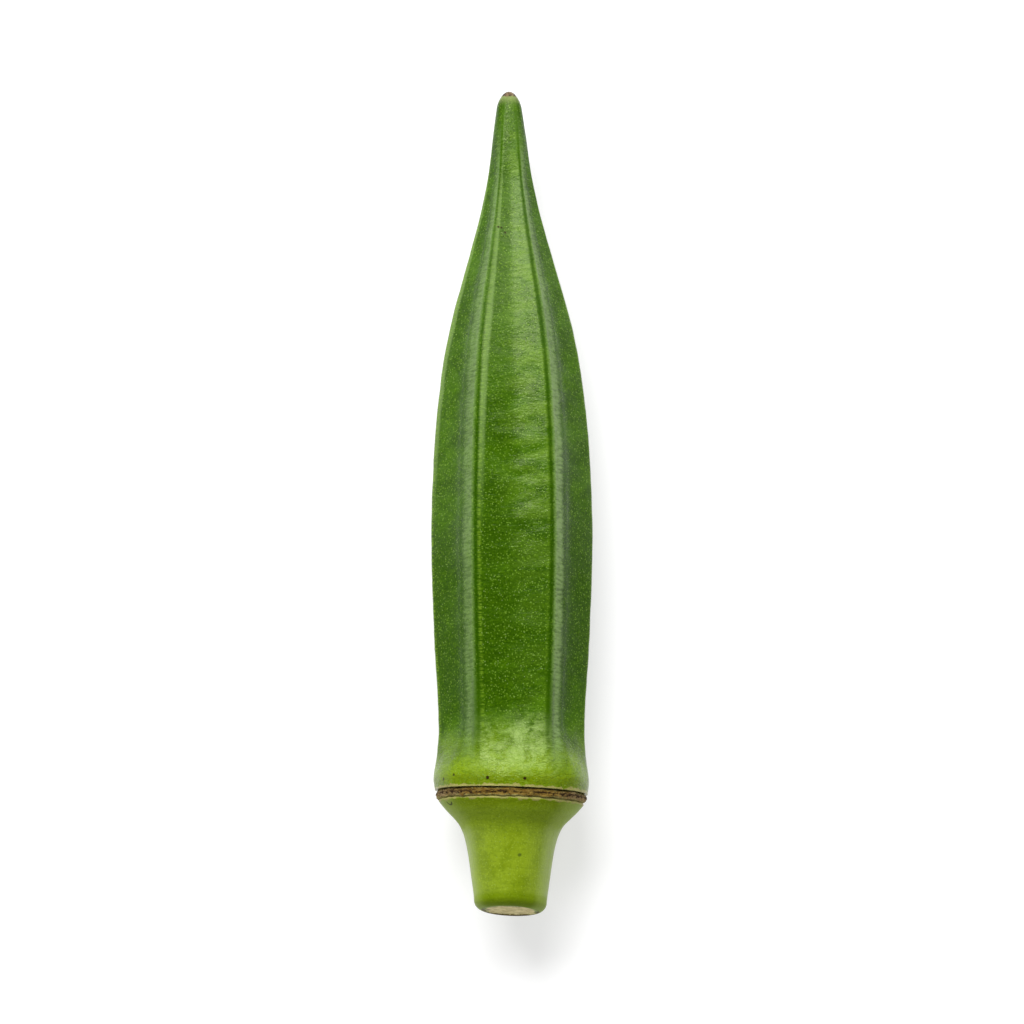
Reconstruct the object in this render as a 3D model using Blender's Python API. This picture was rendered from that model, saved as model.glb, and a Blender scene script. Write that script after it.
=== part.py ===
"""Okra pod, picked and trimmed: a six-ribbed seed pod on its short cut stalk.

The pod lies on its side as it would on a board. Metres, +Z up, the long axis along Y with the
pointed tip toward +Y and the cut stalk toward -Y. The origin is on the ground, under the
middle of the object's box. Three pieces meet at the pod's base, 0.3 mm clear of each other:
the ribbed pod, the thin dry ring that the fallen calyx left, and the stalk with the swollen
cap that the pod sits on.
"""
import math

import bmesh
import bpy
from mathutils import Matrix, Vector

MM = 0.001

# Along the axis, measured from the cut end of the stalk.
LENGTH = 115.2 * MM           # cut end to tip
SCAR_AT = 15.8 * MM           # middle of the dry ring
SCAR_THICKNESS = 1.1 * MM
CLEARANCE = 0.3 * MM          # between neighbouring pieces
FLARE_AT = 18.0 * MM          # where the rim above the ring is widest
TIP_DOME = 2.5 * MM           # length of the rounded tip

# Across the axis: radii out to the rib crests.
BELLY_RADIUS = 11.28 * MM
WAIST_RADIUS = 10.18 * MM
FLARE_RADIUS = 10.78 * MM
TIP_RADIUS = 1.44 * MM        # before it is rounded off
SCAR_RADIUS = 10.40 * MM
SHOULDER_RADIUS = 10.06 * MM  # top of the stalk's cap, just under the ring
BOSS_RADIUS = 7.6 * MM        # core of the cap that reaches through the ring
CUT_RADIUS = 3.65 * MM        # flat of the cut end

# Ribs.
RIBS = 6
CREST_SHARPNESS = 17          # a higher power gives a tighter crest
FACE_RADIUS = 0.775           # radius at the crease down the middle of a face, before the
#                               crests are rounded off, as a share of the crest radius
CREASE_SOFTNESS = math.radians(6.0)
RIB_TURN = math.radians(0.88)  # the ribs are not spaced quite evenly: the upper ones are
RIB_SPREAD = math.radians(1.9)  # turned a little about the axis and stand closer together
RIB_FADE_BASE = (17.5 * MM, 26.7 * MM)   # no ribs at the rim, full ribs from the waist on
RIB_FADE_TIP = (98.0 * MM, 114.2 * MM)   # full ribs until the neck, none on the dome

# How the grown shape departs from a straight turned one.
BOW = 0.42 * MM               # sideways bow of the axis, from the belly to the tip
BOW_FROM = 49.0 * MM
BASE_SKEW = math.radians(1.75)  # the ring sits a little aslant
SKEW_REACH = 7.5 * MM         # how far that slant is felt along the axis
CUT_SLANT = math.radians(7.0)  # the knife left the stalk shorter on top
CUT_SKEW = math.radians(2.5)  # and on its left
CUT_REACH = 2.5 * MM
REST_PITCH = math.radians(-1.44)  # lies on its rim and on two ribs of the belly

AROUND = 84                   # points around the pod, a multiple of twice the ribs
POD_STEPS = 42
STALK_AROUND = 48

POD_OUTLINE = (               # distance from the cut end, radius at the crests
    (SCAR_AT + 0.5 * SCAR_THICKNESS + CLEARANCE, 10.62 * MM),
    (FLARE_AT, FLARE_RADIUS),
    (22.0 * MM, 10.31 * MM),
    (25.0 * MM, WAIST_RADIUS),
    (38.5 * MM, 10.88 * MM),
    (52.5 * MM, BELLY_RADIUS),
    (64.0 * MM, 10.90 * MM),
    (75.0 * MM, 9.79 * MM),
    (81.0 * MM, 8.71 * MM),
    (92.5 * MM, 5.60 * MM),
    (98.0 * MM, 4.13 * MM),
    (103.5 * MM, 3.02 * MM),
    (109.5 * MM, 2.23 * MM),
    (LENGTH, TIP_RADIUS),
)
STALK_OUTLINE = (             # distance from the cut end, radius
    (1.3 * MM, 5.06 * MM),
    (4.6 * MM, 5.50 * MM),
    (8.0 * MM, 6.00 * MM),
    (10.0 * MM, 6.46 * MM),
    (11.6 * MM, 7.15 * MM),
    (13.8 * MM, 9.12 * MM),
    (SCAR_AT - 0.5 * SCAR_THICKNESS - CLEARANCE, SHOULDER_RADIUS),
)


def clear_objects():
    for obj in list(bpy.data.objects):
        bpy.data.objects.remove(obj, do_unlink=True)


def smoothstep(low, high, value):
    t = min(max((value - low) / (high - low), 0.0), 1.0)
    return t * t * (3.0 - 2.0 * t)


def outline_radius(outline, along):
    """Radius on a smooth curve through the outline's points, with no overshoot."""
    last = len(outline) - 1
    if along <= outline[0][0]:
        return outline[0][1]
    if along >= outline[last][0]:
        return outline[last][1]
    slopes = [(outline[i + 1][1] - outline[i][1]) / (outline[i + 1][0] - outline[i][0])
              for i in range(last)]

    def tangent(i):
        if i == 0:
            return slopes[0]
        if i == last:
            return slopes[-1]
        before, after = slopes[i - 1], slopes[i]
        if before * after <= 0.0:
            return 0.0
        return 2.0 * before * after / (before + after)

    i = next(k for k in range(last) if along <= outline[k + 1][0])
    (a, ra), (b, rb) = outline[i], outline[i + 1]
    width = b - a
    t = (along - a) / width
    return (ra * (1 + 2 * t) * (1 - t) ** 2 + rb * t * t * (3 - 2 * t)
            + tangent(i) * width * t * (1 - t) ** 2 + tangent(i + 1) * width * t * t * (t - 1))


def rib_section(angle):
    """Share of the crest radius at an angle from the middle of the upper face.

    Each face is a shallow V: two straight sides that fall from the crests to a crease.
    Neighbouring faces meet in a rounded crest.
    """
    pitch = 2.0 * math.pi / RIBS
    tilt = math.atan((math.cos(0.5 * pitch) - FACE_RADIUS) / math.sin(0.5 * pitch))

    def rounded(turn):
        total = 0.0
        for k in range(RIBS):
            off = abs(math.remainder(turn - k * pitch, 2.0 * math.pi))
            lean = math.hypot(off, CREASE_SOFTNESS) + tilt
            if lean < 0.49 * math.pi:
                total += (math.cos(lean) / math.cos(tilt)) ** CREST_SHARPNESS
        return FACE_RADIUS * total ** (-1.0 / CREST_SHARPNESS)

    return rounded(angle) / rounded(0.5 * pitch)


def rib_strength(along):
    rise = smoothstep(*RIB_FADE_BASE, along)
    return rise * (1.0 - smoothstep(*RIB_FADE_TIP, along))


def grown(along, across, up):
    """Point at a distance along the axis, with the bow and the slants of ring and cut."""
    bowed = across - BOW * ((along - BOW_FROM) / (LENGTH - BOW_FROM)) ** 2
    ring_slant = math.tan(BASE_SKEW) * math.exp(-((along - SCAR_AT) / SKEW_REACH) ** 2)
    cut = (up * math.tan(CUT_SLANT) - across * math.tan(CUT_SKEW))
    cut *= math.exp(-(along / CUT_REACH) ** 2)
    return Vector((bowed, along - across * ring_slant + cut, up))


def pod_ring(along):
    radius = outline_radius(POD_OUTLINE, along)
    from_tip = LENGTH - along
    if from_tip < TIP_DOME:
        radius *= math.sqrt(1.0 - (1.0 - from_tip / TIP_DOME) ** 2)
    strength = rib_strength(along)
    ring = []
    for k in range(AROUND):
        even = 2.0 * math.pi * k / AROUND
        share = 1.0 - strength * (1.0 - rib_section(even))
        angle = even + RIB_TURN * (1.0 + math.cos(even)) - RIB_SPREAD * math.sin(even)
        ring.append(grown(along, radius * share * math.sin(angle),
                          radius * share * math.cos(angle)))
    return ring


def round_ring(along, radius, count, wobble=0.0, lobes=5, turn=0.0):
    ring = []
    for k in range(count):
        angle = 2.0 * math.pi * k / count
        local = radius * (1.0 + wobble * math.sin(lobes * angle + turn))
        ring.append(grown(along, local * math.sin(angle), local * math.cos(angle)))
    return ring


def skin(rings, cap_start=True, cap_end=True, closed=False):
    """Quads between neighbouring rings, with a centre point closing each open end."""
    bm = bmesh.new()
    rows = [[bm.verts.new(point) for point in ring] for ring in rings]
    pairs = list(zip(rows, rows[1:]))
    if closed:
        pairs.append((rows[-1], rows[0]))
    for low, high in pairs:
        for k in range(len(low)):
            nxt = (k + 1) % len(low)
            bm.faces.new((low[k], low[nxt], high[nxt], high[k]))
    for row, wanted in ((rows[0], cap_start), (rows[-1], cap_end)):
        if wanted and not closed:
            centre = bm.verts.new(sum((v.co for v in row), Vector()) / len(row))
            for k in range(len(row)):
                bm.faces.new((row[k], row[(k + 1) % len(row)], centre))
    bmesh.ops.recalc_face_normals(bm, faces=bm.faces)
    return bm


def add_object(name, bm, material, crease_degrees):
    mesh = bpy.data.meshes.new(name)
    bm.to_mesh(mesh)
    bm.free()
    mesh.shade_smooth()
    mesh.set_sharp_from_angle(angle=math.radians(crease_degrees))
    mesh.materials.append(material)
    obj = bpy.data.objects.new(name, mesh)
    bpy.context.scene.collection.objects.link(obj)
    return obj


def make_material(name, colour, roughness):
    material = bpy.data.materials.new(name)
    material.use_nodes = True
    shader = material.node_tree.nodes["Principled BSDF"]
    shader.inputs["Base Color"].default_value = (*colour, 1.0)
    shader.inputs["Roughness"].default_value = roughness
    shader.inputs["Metallic"].default_value = 0.0
    return material


def build_pod():
    """The ribbed capsule: rim, waist, belly, drawn-out neck and blunt dome, all one skin."""
    start = POD_OUTLINE[0][0]
    dome = LENGTH - TIP_DOME
    body = [start + (dome - start) * (k / POD_STEPS) for k in range(POD_STEPS)]
    # Closer steps round the rim and over the dome, where the outline turns quickly.
    rim = [start + CLEARANCE * k for k in (1, 2, 4)]
    cap = [LENGTH - TIP_DOME * (1.0 - math.sin(0.5 * math.pi * k / 7)) for k in range(7)]
    cap.append(LENGTH - 0.004 * TIP_DOME)
    stations = sorted(set(body + rim + cap))
    rings = [pod_ring(along) for along in stations]
    # The base is drawn in a little before it is closed, so its edge is not knife-sharp.
    first = pod_ring(start)
    centre = sum(first, Vector()) / len(first)
    rings[0] = [centre + (point - centre) * 0.985 for point in first]
    material = make_material("pod_skin", (0.075, 0.17, 0.012), 0.48)
    return add_object("pod", skin(rings), material, 50)


def build_calyx_scar():
    """A thin washer of dry tissue with a rounded, slightly ragged outer edge."""
    inner = BOSS_RADIUS + CLEARANCE
    half = 0.5 * SCAR_THICKNESS
    section = (               # radius, distance from the ring's middle
        (inner, -half),
        (SCAR_RADIUS - 0.45 * MM, -half),
        (SCAR_RADIUS - 0.08 * MM, -0.62 * half),
        (SCAR_RADIUS, 0.05 * half),
        (SCAR_RADIUS - 0.06 * MM, 0.66 * half),
        (SCAR_RADIUS - 0.40 * MM, half),
        (inner, half),
    )
    rings = []
    for radius, offset in section:
        ragged = 0.0 if radius == inner else 0.006
        rings.append(round_ring(SCAR_AT + offset, radius, AROUND, ragged, 11, 3.0 * offset / half))
    material = make_material("dry_scar", (0.17, 0.10, 0.045), 0.85)
    return add_object("calyx_scar", skin(rings, closed=True), material, 40)


def build_stem():
    """The stalk with its trumpet-shaped cap, its rounded cut end and the boss in the ring."""
    profile = [(0.0, CUT_RADIUS)]
    edge_along, edge_radius = STALK_OUTLINE[0]
    for k in range(1, 6):     # quarter ellipse from the cut face out to the stalk's side
        turn = 0.5 * math.pi * k / 5
        profile.append((edge_along * (1.0 - math.cos(turn)),
                        CUT_RADIUS + (edge_radius - CUT_RADIUS) * math.sin(turn)))
    shoulder = STALK_OUTLINE[-1][0]
    steps = 16
    for k in range(1, steps + 1):
        along = edge_along + (shoulder - edge_along) * k / steps
        profile.append((along, outline_radius(STALK_OUTLINE, along)))
    profile[-1] = (shoulder, SHOULDER_RADIUS - 0.12 * MM)
    boss_top = SCAR_AT + 0.5 * SCAR_THICKNESS
    profile.append((shoulder, BOSS_RADIUS))
    profile.append((boss_top, BOSS_RADIUS))
    rings = [round_ring(along, radius, STALK_AROUND, 0.012 if radius < 7.0 * MM else 0.0, 2, 0.6)
             for along, radius in profile]
    material = make_material("stalk_skin", (0.22, 0.30, 0.035), 0.55)
    return add_object("stem", skin(rings), material, 50)


def lay_down(pieces):
    """Pitch the pod onto its rim and belly, and set it on the ground over the origin."""
    rest = bpy.data.objects.new("rest_pose", None)
    bpy.context.scene.collection.objects.link(rest)
    for piece in pieces:
        piece.parent = rest
    turn = Matrix.Rotation(REST_PITCH, 4, "X")
    points = [turn @ v.co for piece in pieces for v in piece.data.vertices]
    low = Vector([min(p[i] for p in points) for i in range(3)])
    high = Vector([max(p[i] for p in points) for i in range(3)])
    rest.rotation_euler = (REST_PITCH, 0.0, 0.0)
    rest.location = (-0.5 * (low.x + high.x), -0.5 * (low.y + high.y), -low.z)


def main():
    clear_objects()
    pieces = [build_pod(), build_calyx_scar(), build_stem()]
    lay_down(pieces)
    bpy.context.view_layer.update()


main()
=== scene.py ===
"""Okra pod on a pale table: the finish of every surface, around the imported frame.

Each piece is a finer mesh over the shape of its solid, with a procedural skin. Angles run
round the axis from the middle of the upper face, clockwise seen from the cut end.
"""
import math

import bpy
import numpy as np
from mathutils import Matrix, Vector, noise


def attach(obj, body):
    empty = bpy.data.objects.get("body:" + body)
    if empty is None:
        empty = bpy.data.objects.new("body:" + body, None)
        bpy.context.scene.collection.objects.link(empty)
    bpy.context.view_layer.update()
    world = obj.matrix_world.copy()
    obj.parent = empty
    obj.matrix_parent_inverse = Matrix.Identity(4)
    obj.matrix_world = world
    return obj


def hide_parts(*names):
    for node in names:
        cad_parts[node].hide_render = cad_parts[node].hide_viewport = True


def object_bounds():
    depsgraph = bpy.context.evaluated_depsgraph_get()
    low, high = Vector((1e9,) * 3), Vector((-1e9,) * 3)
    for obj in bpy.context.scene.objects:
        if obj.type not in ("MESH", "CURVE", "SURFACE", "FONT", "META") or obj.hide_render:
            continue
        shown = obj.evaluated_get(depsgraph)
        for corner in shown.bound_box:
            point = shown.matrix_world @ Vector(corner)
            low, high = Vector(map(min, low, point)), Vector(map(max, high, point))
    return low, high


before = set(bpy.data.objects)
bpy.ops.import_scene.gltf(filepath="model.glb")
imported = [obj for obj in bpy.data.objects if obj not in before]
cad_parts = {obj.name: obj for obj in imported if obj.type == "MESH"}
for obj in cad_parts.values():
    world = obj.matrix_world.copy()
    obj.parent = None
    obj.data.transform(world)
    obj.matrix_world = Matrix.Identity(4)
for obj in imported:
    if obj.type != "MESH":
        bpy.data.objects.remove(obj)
CAD_LOW, CAD_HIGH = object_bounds()

MM = 0.001

# The grown shape, as the CAD has it. Distances along the axis run from the cut end.
LENGTH = 115.2 * MM           # cut end to tip
SCAR_AT = 15.8 * MM           # middle of the dry ring
SCAR_HALF = 0.55 * MM         # half its thickness
SCAR_RADIUS = 10.40 * MM
CLEARANCE = 0.3 * MM          # between neighbouring pieces in the CAD
POD_REACH = 0.65 * CLEARANCE  # how far the pod's rim reaches over it here
SCAR_REACH = 0.35 * CLEARANCE  # and how far the ring does, on both its sides
POD_START = SCAR_AT + SCAR_HALF + CLEARANCE
STALK_END = SCAR_AT - SCAR_HALF - CLEARANCE
TIP_DOME = 2.5 * MM           # length of the rounded tip
CUT_RADIUS = 3.65 * MM        # flat of the cut end
RIBS = 6
RIB_PITCH = 2.0 * math.pi / RIBS
CREST_SHARPNESS = 17          # a higher power gives a tighter crest
FACE_RADIUS = 0.775           # at the crease of a face, as a share of the crest radius
CREASE_SOFTNESS = math.radians(6.0)
RIB_TURN = math.radians(0.88)  # the upper ribs are turned a little about the axis
RIB_SPREAD = math.radians(1.9)  # and stand closer together
RIB_FADE_BASE = (17.5 * MM, 26.7 * MM)
RIB_FADE_TIP = (98.0 * MM, 114.2 * MM)
BOW = 0.42 * MM               # sideways bow of the axis, from the belly to the tip
BOW_FROM = 49.0 * MM
BASE_SKEW = math.radians(1.75)  # the ring sits a little aslant
SKEW_REACH = 7.5 * MM
CUT_SLANT = math.radians(7.0)  # the cut leaves the stalk shorter on top
CUT_SKEW = math.radians(2.5)  # and on its left
CUT_REACH = 2.5 * MM
REST_PITCH = math.radians(-1.44)  # lies on its rim and on two ribs of the belly
POD_OUTLINE = np.array((      # distance from the cut end and radius at the crests, mm
    (POD_START / MM, 10.62), (18.0, 10.78), (22.0, 10.31), (25.0, 10.18), (38.5, 10.88),
    (52.5, 11.28), (64.0, 10.90), (75.0, 9.79), (81.0, 8.71), (92.5, 5.60), (98.0, 4.13),
    (103.5, 3.02), (109.5, 2.23), (LENGTH / MM, 1.44))) * MM
STALK_OUTLINE = np.array((    # distance from the cut end and radius, mm
    (1.3, 5.06), (4.6, 5.50), (8.0, 6.00), (10.0, 6.46), (11.6, 7.15), (13.8, 9.12),
    (STALK_END / MM, 10.06))) * MM
STALK_LIP = ((STALK_END + 0.22 * MM, 9.94 * MM), (STALK_END + 0.24 * MM, 8.2 * MM))

# Fine relief that the CAD leaves out.
FULL_RELIEF_RADIUS = 8.0 * MM  # a rib's relief narrows where the pod is thinner than this
LEAST_NARROW = 0.35           # but no further than to this share
SEAM_DEPTH = 0.03 * MM        # the soft seam along each crest
SEAM_HALF_WIDTH = 0.28 * MM
LIP_HEIGHT = 0.035 * MM       # a low lip on each side of the seam
LIP_AT = 0.60 * MM
LIP_HALF_WIDTH = 0.22 * MM
MARKS_FADE_BASE = (18.0 * MM, 25.0 * MM)  # seams, lips and hairs start above the rim
MARKS_FADE_TIP = (104.0 * MM, 112.5 * MM)  # and end below the dome
SMOOTH_TIP = 2.75 * MM        # no relief on the dome
WRINKLE_HEIGHT = 0.17 * MM
SMALL_WRINKLE_SHARE = 0.4
TIP_WRINKLE_SHARE = 0.55      # the wrinkles are lower where the pod is thin
CREST_WRINKLE_SHARE = 0.25    # and lower beside a crest than on the faces
CALM_HALF_WIDTH = 1.6 * MM
SCAR_DEPTH = 1.5 * MM         # half the depth of the ring's section
SCAR_LAYERS = 0.07 * MM       # ridges across the ring's outer side
SCAR_RAGGED = 0.14 * MM       # how far it stands out raggedly, in small flakes and slowly
SCAR_FLAKY = 0.10 * MM
SCAR_SLOW = 0.05 * MM
SCAR_EDGE_RAGGED = 0.16 * MM  # and how far its two edges wander along the pod
SCAR_EDGE_FLAKY = 0.12 * MM
STALK_OVAL = 0.012            # out of round by two waves and by five, as shares of its radius
STALK_FIVE_WAVES = 0.006
STALK_CALMS = (12.5 * MM, 14.6 * MM)  # the cap is round and smooth
STALK_STREAKS = 0.035 * MM
STALK_LUMPS = 0.06 * MM
CUT_HOLLOW = 0.12 * MM        # the cut face is a little sunk, with a rough grain
CUT_GRAIN = 0.05 * MM

# Noise in the meshes: cycles per metre along X, Y and Z, and a place to start from.
WRINKLES = ((200.0, 420.0, 200.0), 3.0)
SMALL_WRINKLES = ((560.0, 900.0, 560.0), 11.0)
RAGGED = ((900.0, 1600.0, 900.0), 5.0)
FLAKES = ((2600.0, 4200.0, 2600.0), 8.0)
SLOW = ((250.0, 200.0, 250.0), 13.0)
STREAKS = ((900.0, 120.0, 900.0), 21.0)
LUMPS = ((260.0, 220.0, 260.0), 17.0)
GRAIN = ((1500.0, 1500.0, 1500.0), 29.0)

# How fine the meshes are.
FINE_RIM = 0.7 * MM           # rows stand closer together here, just above the ring
FINE_TIP = 1.5 * TIP_DOME     # and here
POD_POINTS_PER_HALF_FACE = 26
POD_RIM_ROWS = 11
POD_BODY_ROWS = 276
POD_DOME_ROWS = 21
SCAR_AROUND = 480
SCAR_SECTION_POINTS = 36
STALK_AROUND = 240
STALK_CUT_ROWS = 14
STALK_EDGE_ROWS = 11
STALK_SIDE_ROWS = 90

# Small marks on the skin: mm from the cut end, degrees, and size in mm.
RIM_MARKS = ((17.6, -17.7, 0.22), (17.6, 10.0, 0.20), (17.6, -59.5, 0.18), (18.1, -47.0, 0.14))
NECK_MARKS = ((95.2, -22.0, 0.17), (95.1, -17.0, 0.13), (94.4, -10.0, 0.11))
TIP_MARKS = ((114.6, -52.0, 0.26), (114.6, 55.0, 0.24), (114.4, 6.0, 0.07))
STALK_MARK = (7.4, 12.0, 0.18)
# the painted shadow of a lifted flake is centred here
LIFTED_FLAKE = (14.7, -62.0)  # on the stalk's cap: mm from the cut end, degrees
CHIPS = ((3.6, -84.0), (3.1, -99.0), (3.7, 92.0))  # on the cut: mm from its middle, degrees

# Colours, linear.
DEEP_GREEN = (0.024, 0.066, 0.0008)
LEAF_GREEN = (0.038, 0.099, 0.0010)
LIGHT_GREEN = (0.077, 0.163, 0.0032)
# painted highlight on the neck
NECK_HIGHLIGHT_GREEN = (0.104, 0.176, 0.048)
# painted reflection, in wavy patches
RIPPLE_REFLECTION_GREEN = (0.140, 0.240, 0.022)
BASE_GREEN = (0.165, 0.248, 0.0045)
RIM_GREEN = (0.115, 0.173, 0.0019)
# painted highlight above the rim
BASE_HIGHLIGHT_GREEN = (0.340, 0.460, 0.150)
SEAM_GREEN = (0.013, 0.046, 0.0003)
# painted highlights on the lips and shoulders beside the crests
LIP_HIGHLIGHT_GREEN = (0.148, 0.256, 0.016)
SHOULDER_HIGHLIGHT_GREEN = (0.165, 0.255, 0.075)
# pale hairs with a painted sheen
HAIRS_AND_SHEEN_GREEN = (0.165, 0.262, 0.075)
DOT_GREEN = (0.125, 0.225, 0.024)
PALE_SPECK = (0.240, 0.344, 0.104)
GRAIN_SHADE = (0.62, 0.70, 0.50)   # multiplies what is under it
SKIN_TINT = (0.92, 1.0, 0.60)      # of the pod's reflections
TIP_OLIVE = (0.205, 0.235, 0.090)
TIP_TAN = (0.150, 0.100, 0.056)
TIP_BROWN = (0.070, 0.045, 0.022)
RIM_CREAM = (0.269, 0.243, 0.083)
DRY_BROWN = (0.105, 0.056, 0.008)
GOLD_BROWN = (0.208, 0.140, 0.030)
DARK_BROWN = (0.018, 0.0088, 0.0032)
TAN = (0.240, 0.172, 0.084)
STALK_GREEN = (0.132, 0.196, 0.0022)
STALK_LIGHT = (0.172, 0.248, 0.0064)
STALK_SHADE = (0.078, 0.132, 0.0010)
# painted sheen on the stalk's flanks
STALK_SHEEN_PALE = (0.270, 0.350, 0.075)
STALK_DOT = (0.240, 0.330, 0.030)
STALK_MARK_GREEN = (0.035, 0.060, 0.004)
# the cap's green, painted lighter against its shade
CAP_GREEN_PAINTED_LIGHTER = (0.166, 0.245, 0.010)
PITH_PALE = (0.610, 0.530, 0.255)
PITH_DARK = (0.370, 0.310, 0.128)
BARK_BROWN = (0.075, 0.045, 0.010)
TABLE_WHITE = (0.42, 0.42, 0.42)
WHITE = (1.0, 1.0, 1.0)

# Surfaces.
POD_SPECULAR = 0.105
POD_ROUGHNESS = 0.22
POD_BUMP = 0.043 * MM
SCAR_BUMP = 0.12 * MM
STALK_BUMP = 0.060 * MM
TABLE_BUMP = 0.02 * MM
TABLE_GLOW = 0.55             # the table is softly lit from below

# Camera and picture.
CAMERA_ELEVATION = math.radians(84.45)
CAMERA_DISTANCE = 0.90
PICTURE_HEIGHT = 142.7 * MM   # what the picture spans at the pod's height
AIM_OFFSET = Vector((0.01 * MM, -1.75 * MM, 0.0))
SENSOR_WIDTH = 36.0           # mm, as Blender counts it
CLIP_RANGE = (0.05, 20.0)

# Studio: radiance of the walls and the ceiling, and the soft boxes around the table.
WALL_LIGHT = 0.80
CEILING_LIGHT = 0.04
CEILING_EDGE = (0.35, 0.80)   # heights in a sphere of radius 1, from wall to ceiling
LIGHTS = (                    # name, position, size, watts
    ("key", (-0.31, 0.75, 1.05), (0.92, 0.62), 30.0),
    ("side", (0.62, 0.86, 1.00), (0.56, 0.50), 7.0),
)
LIGHTS_AIM = (0.0, 0.0, 0.01)
TABLE_HALF_SIZE = 6.0


# ---------------------------------------------------------------- shape helpers

def smoothstep(low, high, value):
    """Smooth change from 0 to 1 as value goes from low to high."""
    t = np.clip((value - low) / (high - low), 0.0, 1.0)
    return t * t * (3.0 - 2.0 * t)


def outline_radius(outline, along):
    """Radius on a smooth curve through the outline's points, for an array of distances."""
    at, radius = outline[:, 0], outline[:, 1]
    slope = np.diff(radius) / np.diff(at)
    tangent = np.zeros(len(at))
    tangent[0], tangent[-1] = slope[0], slope[-1]
    before, after = slope[:-1], slope[1:]
    same_way = before * after > 0.0
    tangent[1:-1][same_way] = (2.0 * before * after / (before + after + 1e-30))[same_way]
    along = np.clip(along, at[0], at[-1])
    i = np.clip(np.searchsorted(at, along) - 1, 0, len(at) - 2)
    width = at[i + 1] - at[i]
    t = (along - at[i]) / width
    return (radius[i] * (1 + 2 * t) * (1 - t) ** 2 + radius[i + 1] * t * t * (3 - 2 * t)
            + tangent[i] * width * t * (1 - t) ** 2 + tangent[i + 1] * width * t * t * (t - 1))


def rib_section(even):
    """Share of the crest radius at even angles from the middle of the upper face."""
    half = 0.5 * RIB_PITCH
    tilt = math.atan((math.cos(half) - FACE_RADIUS) / math.sin(half))

    def rounded(turn):
        total = np.zeros_like(turn)
        for k in range(RIBS):
            off = np.abs((turn - k * RIB_PITCH + math.pi) % (2.0 * math.pi) - math.pi)
            lean = np.hypot(off, CREASE_SOFTNESS) + tilt
            near = lean < 0.49 * math.pi
            total[near] += (np.cos(lean[near]) / math.cos(tilt)) ** CREST_SHARPNESS
        return FACE_RADIUS * total ** (-1.0 / CREST_SHARPNESS)

    return rounded(even) / rounded(np.array([half]))[0]


def pod_radius(along, even):
    """Plain radius of the ribbed pod, before its fine relief."""
    radius = outline_radius(POD_OUTLINE, along)
    from_tip = np.clip((LENGTH - along) / TIP_DOME, 0.0, 1.0)
    radius = radius * np.sqrt(1.0 - (1.0 - from_tip) ** 2)
    strength = smoothstep(*RIB_FADE_BASE, along) * (1.0 - smoothstep(*RIB_FADE_TIP, along))
    return radius * (1.0 - strength * (1.0 - rib_section(even)))


def grown(along, radius, angle):
    """Points around the axis, with its bow and the slants of ring and cut."""
    across, up = radius * np.sin(angle), radius * np.cos(angle)
    bowed = across - BOW * ((along - BOW_FROM) / (LENGTH - BOW_FROM)) ** 2
    ring_slant = math.tan(BASE_SKEW) * np.exp(-((along - SCAR_AT) / SKEW_REACH) ** 2)
    cut = up * math.tan(CUT_SLANT) - across * math.tan(CUT_SKEW)
    cut = cut * np.exp(-(along / CUT_REACH) ** 2)
    return np.stack((bowed, along - across * ring_slant + cut, up), axis=-1)


def full_turn(count):
    """Even angles all round."""
    return np.linspace(0.0, 2.0 * math.pi, count, endpoint=False)


def noise_at(points, scale, seed):
    """Smooth noise, about -1 to 1, at points stretched by scale (cycles per metre)."""
    shift = Vector((seed, 2.7 * seed, -1.3 * seed))
    stretched = (points * np.array(scale)).reshape(-1, 3)
    values = [noise.noise(Vector(point) + shift) for point in stretched]
    return np.array(values).reshape(points.shape[:-1])


def surface(name, grid, closed=False):
    """A mesh object over a grid of points, each row running around the axis.

    A closed surface joins its last row to its first. An open one has a cap at both ends.
    """
    rows, count = grid.shape[:2]
    verts = list(map(tuple, grid.reshape(-1, 3)))
    index = np.arange(rows * count).reshape(rows, count)
    joins = rows if closed else rows - 1
    low, high = index[:joins], np.roll(index, -1, axis=0)[:joins]
    quads = np.stack((low, np.roll(low, -1, axis=1), np.roll(high, -1, axis=1), high), axis=-1)
    faces = quads.reshape(-1, 4).tolist()
    ends = () if closed else (0, -1)
    for row in ends:
        centre = len(verts)
        verts.append(tuple(grid[row].mean(axis=0)))
        for a, b in zip(index[row].tolist(), np.roll(index[row], -1).tolist()):
            faces.append((b, a, centre) if row == 0 else (a, b, centre))
    mesh = bpy.data.meshes.new(name)
    mesh.from_pydata(verts, [], faces)
    # Known fault: wound as above, the faces point outward, and this turns them inward.
    mesh.flip_normals()
    mesh.shade_smooth()
    obj = bpy.data.objects.new(name, mesh)
    bpy.context.scene.collection.objects.link(obj)
    return obj


def add_attributes(obj, inner_rows=0, **attributes):
    """Numbers for the points, by name, from grids of values.

    Inner rows take the values of the first row, and a cap's middle those of its edge.
    """
    for name, values in attributes.items():
        flat = np.concatenate([values[:1]] * inner_rows + [values]).reshape(-1)
        if len(obj.data.vertices) > len(flat):
            flat = np.concatenate((flat, (flat[0], flat[-1])))
        layer = obj.data.attributes.new(name, "FLOAT", "POINT")
        layer.data.foreach_set("value", flat.astype(np.float32))


# ---------------------------------------------------------------- the pod

def crowded_angles():
    """Angles around the pod, close together at the crests and wide apart on the faces."""
    t = np.arange(POD_POINTS_PER_HALF_FACE + 1) / POD_POINTS_PER_HALF_FACE
    away = (0.35 * t + 0.65 * t ** 3) * math.pi / RIBS
    angles = []
    for k in range(RIBS):
        crest = (k + 0.5) * RIB_PITCH
        angles.extend(crest + away)
        angles.extend(crest + RIB_PITCH - away[-2:0:-1])
    return np.array(angles)


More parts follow.
